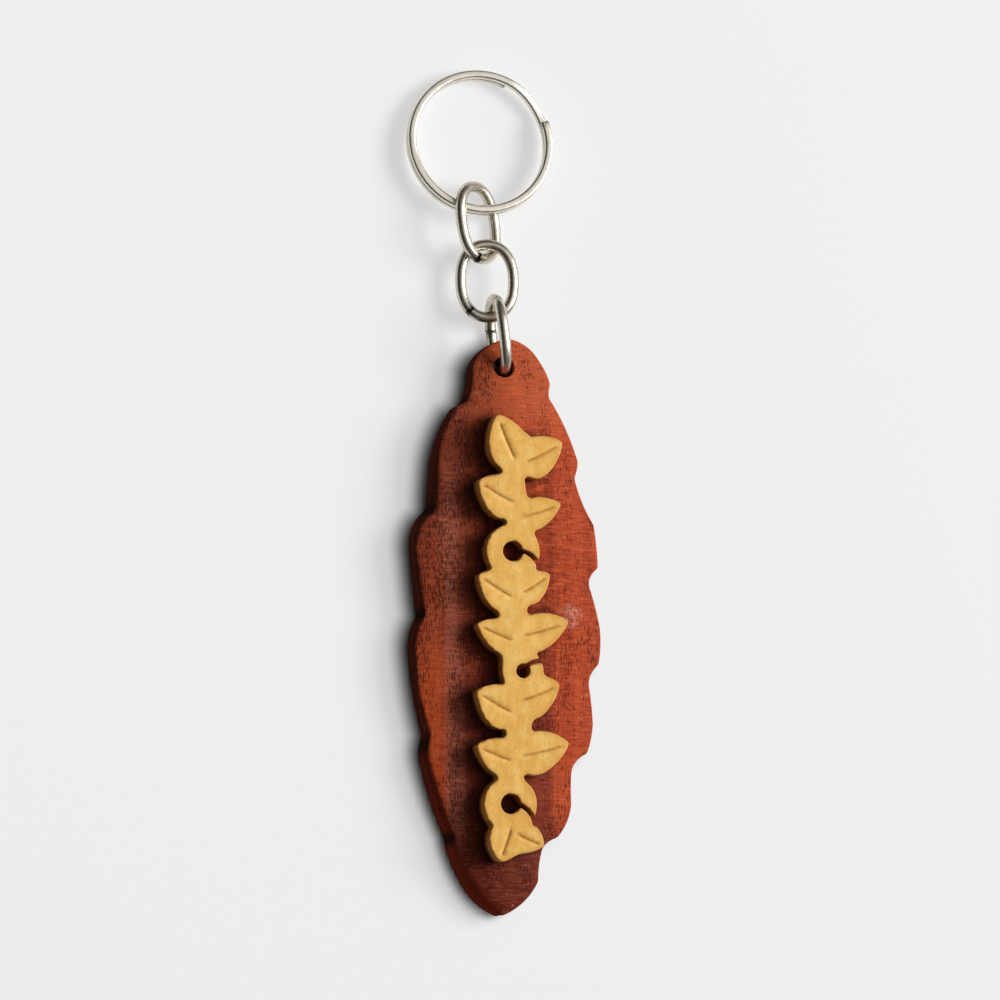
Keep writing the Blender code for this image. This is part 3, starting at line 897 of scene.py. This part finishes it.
def red_hardwood(name, gloss):
    """Red timber: broad figure and dark pores along the tag, fine sanding ripple across it."""
    material, tree, shader = start_material(name)
    plan = attribute(tree, "plan", "Vector")
    place = add_node(tree, "ShaderNodeSeparateXYZ", {0: plan})
    x, y = place.outputs[0], place.outputs[1]
    figure = speckle(tree, plan, (0.36, 0.016, 0.36), 3.0, 0.5)
    streak = speckle(tree, plan, (2.0, 0.07, 2.0), 3.0, 0.6)
    cluster = speckle(tree, plan, (0.26, 0.09, 0.26), 2.0, 0.5)
    pore = speckle(tree, plan, (5.0, 0.95, 5.0), 1.0, 0.5)
    ripple = speckle(tree, plan, (0.42, 2.3, 0.6), 4.0, 0.62)
    painted_glint = speckle(tree, plan, (2.4, 2.4, 2.4), 0.0, 0.5)
    # Figure and streaks, paler towards the hole, brighter at the lower left edge, deeper at the right.
    colour = tint(tree, fade(tree, figure, 0.34, 0.66), (0.28, 0.040, 0.017), (0.46, 0.074, 0.024))
    colour = tint(tree, fade(tree, streak, 0.42, 0.70, 0.0, 0.6), colour, (0.17, 0.018, 0.007))
    colour = tint(tree, fade(tree, y, -16.0, -6.0, 0.0, 0.55), colour, (0.58, 0.125, 0.048))
    left_edge = calc(tree, "MULTIPLY", fade(tree, x, -8.0, -11.5), fade(tree, y, -44.0, -58.0))
    colour = tint(tree, calc(tree, "MULTIPLY", left_edge, 0.6), colour, (0.60, 0.085, 0.018))
    colour = tint(tree, fade(tree, x, 7.5, 11.5, 0.0, 0.4), colour, (0.41, 0.054, 0.019))
    # Sanding ripple, light and dark.
    colour = tint(tree, fade(tree, ripple, 0.46, 0.66, 0.0, 0.46), colour, (0.66, 0.125, 0.040))
    colour = tint(tree, fade(tree, ripple, 0.46, 0.30, 0.0, 0.46), colour, (0.11, 0.013, 0.006))
    # Dark heartwood down the middle, painted shade on the upper left, and a painted sheen in a pale band
    # beside them.
    wander = calc(tree, "ADD", x, fade(tree, figure, 0.2, 0.8, -1.2, 2.2))
    heart = calc(tree, "MULTIPLY", fade(tree, calc(tree, "ABSOLUTE", wander, 0.0), 10.6, 7.6),
                 fade(tree, y, -26.0, -64.0, 0.10, 0.68))
    colour = tint(tree, heart, colour, (0.120, 0.021, 0.015))
    painted_shade_upper_left = calc(tree, "MULTIPLY", fade(tree, x, 0.0, -8.5), fade(tree, y, -56.0, -20.0, 0.10, 0.62))
    colour = tint(tree, painted_shade_upper_left, colour, (0.105, 0.025, 0.018))
    # Painted sheen: a pale band on the ripple along the left.
    painted_sheen_band = calc(tree, "ABSOLUTE", calc(tree, "ADD", wander, 8.6), 0.0)
    painted_sheen_band = calc(tree, "MULTIPLY", fade(tree, painted_sheen_band, 2.3, 0.5), fade(tree, y, -14.0, -26.0))
    painted_sheen_band = calc(tree, "MULTIPLY", painted_sheen_band, fade(tree, ripple, 0.38, 0.60, 0.18, 0.62))
    colour = tint(tree, painted_sheen_band, colour, (0.44, 0.145, 0.098))
    # Dark tip, fine light lines across, pores in clusters, painted glints, and the ornament's painted shadow
    # beside its foot.
    colour = tint(tree, fade(tree, y, -72.0, -85.0, 0.0, 0.86), colour, (0.105, 0.018, 0.011))
    fine = speckle(tree, plan, (0.5, 4.6, 0.9), 1.0, 0.5)
    colour = tint(tree, fade(tree, fine, 0.42, 0.62, 0.0, 0.16), colour, (0.60, 0.16, 0.08))
    dense = calc(tree, "SUBTRACT", fade(tree, cluster, 0.36, 0.62, 0.68, 0.54),
                 fade(tree, x, 0.0, -6.0, 0.0, 0.05))
    dashes = fade(tree, calc(tree, "SUBTRACT", pore, dense), 0.0, 0.07)
    colour = tint(tree, calc(tree, "MULTIPLY", dashes, 0.66), colour, (0.040, 0.008, 0.006))
    # Painted glints: pale flecks where pores catch the light.
    colour = tint(tree, fade(tree, painted_glint, 0.79, 0.84, 0.0, 0.55), colour, (0.62, 0.30, 0.20))
    colour = tint(tree, calc(tree, "MULTIPLY", attribute(tree, "grime_and_painted_shade"), 0.74), colour, (0.030, 0.007, 0.004))
    # Dark sawn walls, redder towards the tip, scorched in the inner corners.
    wall = attribute(tree, "wall")
    side = tint(tree, fade(tree, ripple, 0.3, 0.7), (0.043, 0.012, 0.009), (0.088, 0.019, 0.012))
    side = tint(tree, fade(tree, y, -52.0, -84.0, 0.0, 0.75), side, (0.17, 0.022, 0.010))
    colour = tint(tree, wall, colour, side)
    scorch = calc(tree, "MULTIPLY", attribute(tree, "burn"), fade(tree, wall, 0.0, 0.8, 0.25, 0.92))
    colour = tint(tree, scorch, colour, (0.018, 0.009, 0.007))
    # Pale scuff near the right edge.
    spot = add_node(tree, "ShaderNodeVectorMath", {0: plan, 1: SCUFF_AT}, operation="DISTANCE")
    scuff = calc(tree, "MULTIPLY", fade(tree, spot.outputs["Value"], 2.9, 0.6),
                 fade(tree, speckle(tree, plan, (2.6, 1.2, 2.6), 4.0, 0.75), 0.46, 0.60))
    colour = tint(tree, calc(tree, "MULTIPLY", scuff, 0.6), colour, (0.62, 0.40, 0.33))
    tree.links.new(colour, shader.inputs["Base Color"])
    rough = calc(tree, "ADD", fade(tree, ripple, 0.25, 0.75, 0.30, 0.44), calc(tree, "MULTIPLY", wall, 0.3))
    tree.links.new(rough, shader.inputs["Roughness"])
    shader.inputs["Specular IOR Level"].default_value = gloss
    height = calc(tree, "SUBTRACT", ripple, calc(tree, "MULTIPLY", dashes, 0.8))
    set_bump(tree, shader, height, 0.06)
    return material


def yellow_wood():
    """Pale close-grained timber with small brown flecks, a scorched rim darkened more on the edges that face
    left as painted shade, and darker sawn sides with painted shade towards their foot.
    """
    material, tree, shader = start_material("yellow_wood_oiled")
    plan = attribute(tree, "plan", "Vector")
    streak = speckle(tree, plan, (0.7, 0.16, 0.7), 4.0, 0.55)
    fleck = speckle(tree, plan, (4.4, 1.3, 4.4), 1.0, 0.5)
    fine = speckle(tree, plan, (1.6, 6.0, 1.6), 2.0, 0.5)
    cloud = speckle(tree, plan, (0.16, 0.10, 0.16), 2.0, 0.5)
    uneven = speckle(tree, plan, (1.1, 1.1, 0.9), 3.0, 0.6)
    colour = tint(tree, fade(tree, streak, 0.32, 0.68), (0.80, 0.455, 0.102), (0.90, 0.555, 0.150))
    colour = tint(tree, fade(tree, cloud, 0.4, 0.8, 0.0, 0.5), colour, (0.82, 0.44, 0.080))
    mottle = speckle(tree, plan, (0.55, 0.45, 0.55), 4.0, 0.62)
    colour = tint(tree, fade(tree, mottle, 0.46, 0.66, 0.0, 0.50), colour, (0.76, 0.37, 0.068))
    colour = tint(tree, fade(tree, mottle, 0.48, 0.32, 0.0, 0.45), colour, (0.93, 0.63, 0.23))
    colour = tint(tree, fade(tree, fleck, 0.64, 0.76, 0.0, 0.45), colour, (0.36, 0.16, 0.040))
    colour = tint(tree, fade(tree, attribute(tree, "edge"), 1.1, 0.1, 0.0, 0.42), colour, (0.62, 0.27, 0.040))
    # Scorched rim, with painted shade added along the edges that face left, away from the light.
    rim = calc(tree, "ADD", attribute(tree, "edge"), fade(tree, uneven, 0.3, 0.7, 0.14, -0.16))
    scorch_and_painted_shade = calc(tree, "MULTIPLY", fade(tree, rim, 0.30, 0.06),
                    fade(tree, attribute(tree, "faces_right"), 0.5, -0.3, 0.2, 0.9))
    colour = tint(tree, scorch_and_painted_shade, colour, (0.30, 0.125, 0.033))
    burnt = calc(tree, "MULTIPLY", attribute(tree, "vein"), fade(tree, uneven, 0.3, 0.7, 0.85, 0.5))
    colour = tint(tree, burnt, colour, (0.34, 0.135, 0.032))
    wall = attribute(tree, "wall")
    # Sawn sides, darker, with painted shade deepening them towards the foot.
    side = tint(tree, attribute(tree, "foot"), (0.46, 0.175, 0.030), (0.11, 0.034, 0.010))
    side = tint(tree, fade(tree, uneven, 0.42, 0.72, 0.0, 0.65), side, (0.10, 0.036, 0.012))
    colour = tint(tree, wall, colour, side)
    tree.links.new(colour, shader.inputs["Base Color"])
    tree.links.new(fade(tree, fine, 0.3, 0.7, 0.38, 0.52), shader.inputs["Roughness"])
    shader.inputs["Specular IOR Level"].default_value = 0.16
    height = calc(tree, "SUBTRACT", calc(tree, "MULTIPLY", fine, 0.6), fade(tree, fleck, 0.66, 0.76))
    set_bump(tree, shader, height, 0.02)
    return material


def nickel(name, colour, streaks, seam_dirt):
    """Plated wire with drawing marks along it, fine wear, brownish film in patches, dirt at its ends, and
    painted shade where a link lies in the tag's hole.

    streaks is the number of marks per millimetre along the wire and around it.
    """
    material, tree, shader = start_material(name)
    wire = attribute(tree, "wire", "Vector")
    drawn = speckle(tree, wire, streaks, 1.0, 0.5)
    wear = speckle(tree, wire, (0.9, 1.1, 1.1), 4.0, 0.65)
    film = speckle(tree, wire, (0.22, 0.9, 0.9), 3.0, 0.6)
    tone = tint(tree, fade(tree, drawn, 0.3, 0.7, 0.0, 0.40), colour, tuple(c * 0.72 for c in colour))
    tone = tint(tree, fade(tree, film, 0.50, 0.72, 0.0, 0.5), tone, (0.36, 0.28, 0.18))
    grime_and_painted_shade = calc(tree, "MULTIPLY", attribute(tree, "tip"), fade(tree, wear, 0.40, 0.62, 0.15, 0.85))
    tone = tint(tree, grime_and_painted_shade, tone, (0.14, 0.10, 0.07))
    seam = fade(tree, attribute(tree, "tip"), 0.95, 0.995, 0.0, seam_dirt)
    tone = tint(tree, seam, tone, (0.05, 0.035, 0.025))
    # Painted shade: dark and not metallic where a link lies in the tag's hole.
    tone = tint(tree, attribute(tree, "under"), tone, (0.020, 0.013, 0.009))
    tree.links.new(tone, shader.inputs["Base Color"])
    tree.links.new(calc(tree, "SUBTRACT", 1.0, attribute(tree, "under")), shader.inputs["Metallic"])
    shader.inputs["Specular IOR Level"].default_value = 0.1
    rough = calc(tree, "ADD", fade(tree, wear, 0.3, 0.75, 0.24, 0.34), fade(tree, film, 0.5, 0.75, 0.0, 0.10))
    tree.links.new(rough, shader.inputs["Roughness"])
    set_bump(tree, shader, drawn, 0.002)
    return material


def painted_glow_floor():
    """White floor with painted light: it glows, so shadows on it stay pale, and its glow is left out under
    the tag and along the tag's left side as painted shade.
    """
    material, tree, shader = start_material("painted_glow_floor")
    shader.inputs["Base Color"].default_value = (0.325, 0.333, 0.345, 1.0)
    shader.inputs["Roughness"].default_value = 0.8
    shader.inputs["Specular IOR Level"].default_value = 0.1
    shader.inputs["Emission Color"].default_value = (1.0, 0.987, 0.975, 1.0)
    here = add_node(tree, "ShaderNodeTexCoord").outputs["Object"]
    place = add_node(tree, "ShaderNodeSeparateXYZ", {0: here})
    # Painted light: the glow is a little stronger to the left, where the key light falls off, and the clear
    # mask leaves it out as painted shade.
    glow = fade(tree, place.outputs[0], -0.15, 0.15, 0.60, 0.525)
    tree.links.new(calc(tree, "MULTIPLY", attribute(tree, "clear"), glow), shader.inputs["Emission Strength"])
    return material


# ---------------------------------------------------------------- floor, light and camera

def build_floor():
    """Wide floor with a fine net near the tag; its painted glow is left out under the tag and along its left
    side as painted contact shade.
    """
    xs = np.concatenate([[-FLOOR_REACH], np.arange(*FLOOR_X, FLOOR_CELL), [FLOOR_REACH]])
    ys = np.concatenate([[-FLOOR_REACH], np.arange(*FLOOR_Y, FLOOR_CELL), [FLOOR_REACH]])
    points = np.array([(x, y, 0.0) for y in ys for x in xs])
    starts = [row * len(xs) + k for row in range(len(ys) - 1) for k in range(len(xs) - 1)]
    mesh = bpy.data.meshes.new("floor")
    mesh.from_pydata((points * MM + SHIFT).tolist(), [],
                     [(k, k + 1, k + 1 + len(xs), k + len(xs)) for k in starts])
    # Painted contact shade: no glow under the tag, fading in along its left side.
    beyond = outline_field(points[:, :2] + (FLOOR_LEE, 0), soften(tag_outline(), 1))
    layer = mesh.attributes.new("clear", "FLOAT", "POINT")
    low = np.interp(-points[:, 1], CONTACT_AT, CONTACT_FROM)
    high = np.interp(-points[:, 1], CONTACT_AT, CONTACT_TO)
    layer.data.foreach_set("value", smooth_step(beyond, low, high).astype(np.float32))
    mesh.materials.append(painted_glow_floor())
    floor = bpy.data.objects.new("floor", mesh)
    bpy.context.scene.collection.objects.link(floor)


def view_directions():
    """Right, up and backward directions of the camera."""
    west, south = math.radians(VIEW_WEST), math.radians(VIEW_SOUTH)
    right = Vector((math.cos(west), 0, math.sin(west)))
    back = Vector((-math.sin(west) * math.cos(south), -math.sin(south), math.cos(west) * math.cos(south)))
    return right, back.cross(right), back


def build_camera():
    right, up, back = view_directions()
    centre = Vector((np.array(VIEW_CENTRE) * MM + SHIFT).tolist())
    data = bpy.data.cameras.new("camera")
    data.sensor_width = 36.0
    data.lens = 36.0 * VIEW_DISTANCE / VIEW_FIELD
    data.clip_start = 0.05
    data.clip_end = 20.0
    camera = bpy.data.objects.new("camera", data)
    turn = Matrix((right, up, back)).transposed().to_4x4()
    camera.matrix_world = Matrix.Translation(centre + back * VIEW_DISTANCE) @ turn
    bpy.context.scene.collection.objects.link(camera)
    bpy.context.scene.camera = camera


def soft_light(name, bearing, height, distance, size, power, colour):
    """Rectangular area light at a bearing from +X and a height angle, aimed at the object's middle."""
    data = bpy.data.lights.new(name, "AREA")
    data.shape = "RECTANGLE"
    data.size, data.size_y = size
    data.energy = power
    data.color = colour
    lamp = bpy.data.objects.new(name, data)
    b, h = math.radians(bearing), math.radians(height)
    away = Vector((math.cos(h) * math.cos(b), math.cos(h) * math.sin(b), math.sin(h)))
    lamp.location = away * distance
    lamp.rotation_euler = away.to_track_quat("Z", "Y").to_euler()
    bpy.context.scene.collection.objects.link(lamp)


def build_light():
    """One warm key light, and surroundings that are brighter above and to the right."""
    soft_light("key", **KEY_LIGHT)
    world = bpy.data.worlds.new("studio")
    world.use_nodes = True
    tree = world.node_tree
    way = add_node(tree, "ShaderNodeTexCoord").outputs["Generated"]
    place = add_node(tree, "ShaderNodeSeparateXYZ", {0: way})
    bright = calc(tree, "ADD", calc(tree, "MULTIPLY", place.outputs[0], 0.6),
                  calc(tree, "MULTIPLY", place.outputs[2], 0.8))
    colour = tint(tree, fade(tree, bright, 0.1, 0.95), (0.035, 0.028, 0.022), (0.24, 0.245, 0.255))
    above = add_node(tree, "ShaderNodeVectorMath", {0: way, 1: (0.30, 0.12, 0.945)}, operation="DOT_PRODUCT")
    colour = tint(tree, fade(tree, above.outputs["Value"], 0.84, 0.97), colour, (0.86, 0.85, 0.83))
    tree.links.new(colour, tree.nodes["Background"].inputs["Color"])
    bpy.context.scene.world = world


def main():
    scene = bpy.context.scene
    scene.view_settings.view_transform = "Standard"
    scene.view_settings.look = "None"
    build_floor()
    build_camera()
    build_light()
    build_tag(red_hardwood("red_hardwood_varnished", 0.015), red_hardwood("red_hardwood_sawn", 0.0))
    build_ornament(yellow_wood())
    links = nickel("nickel_links", (0.70, 0.655, 0.555), (0.12, 5.0, 5.0), 0.85)
    build_link("link_at_tag", "link_3", links, 1)
    build_link("link_middle", "link_2", links, 2)
    build_link("link_at_ring", "link_1", links, 3)
    build_ring(nickel("nickel_ring", (0.86, 0.815, 0.72), (0.10, 8.0, 8.0), 0.2))


main()
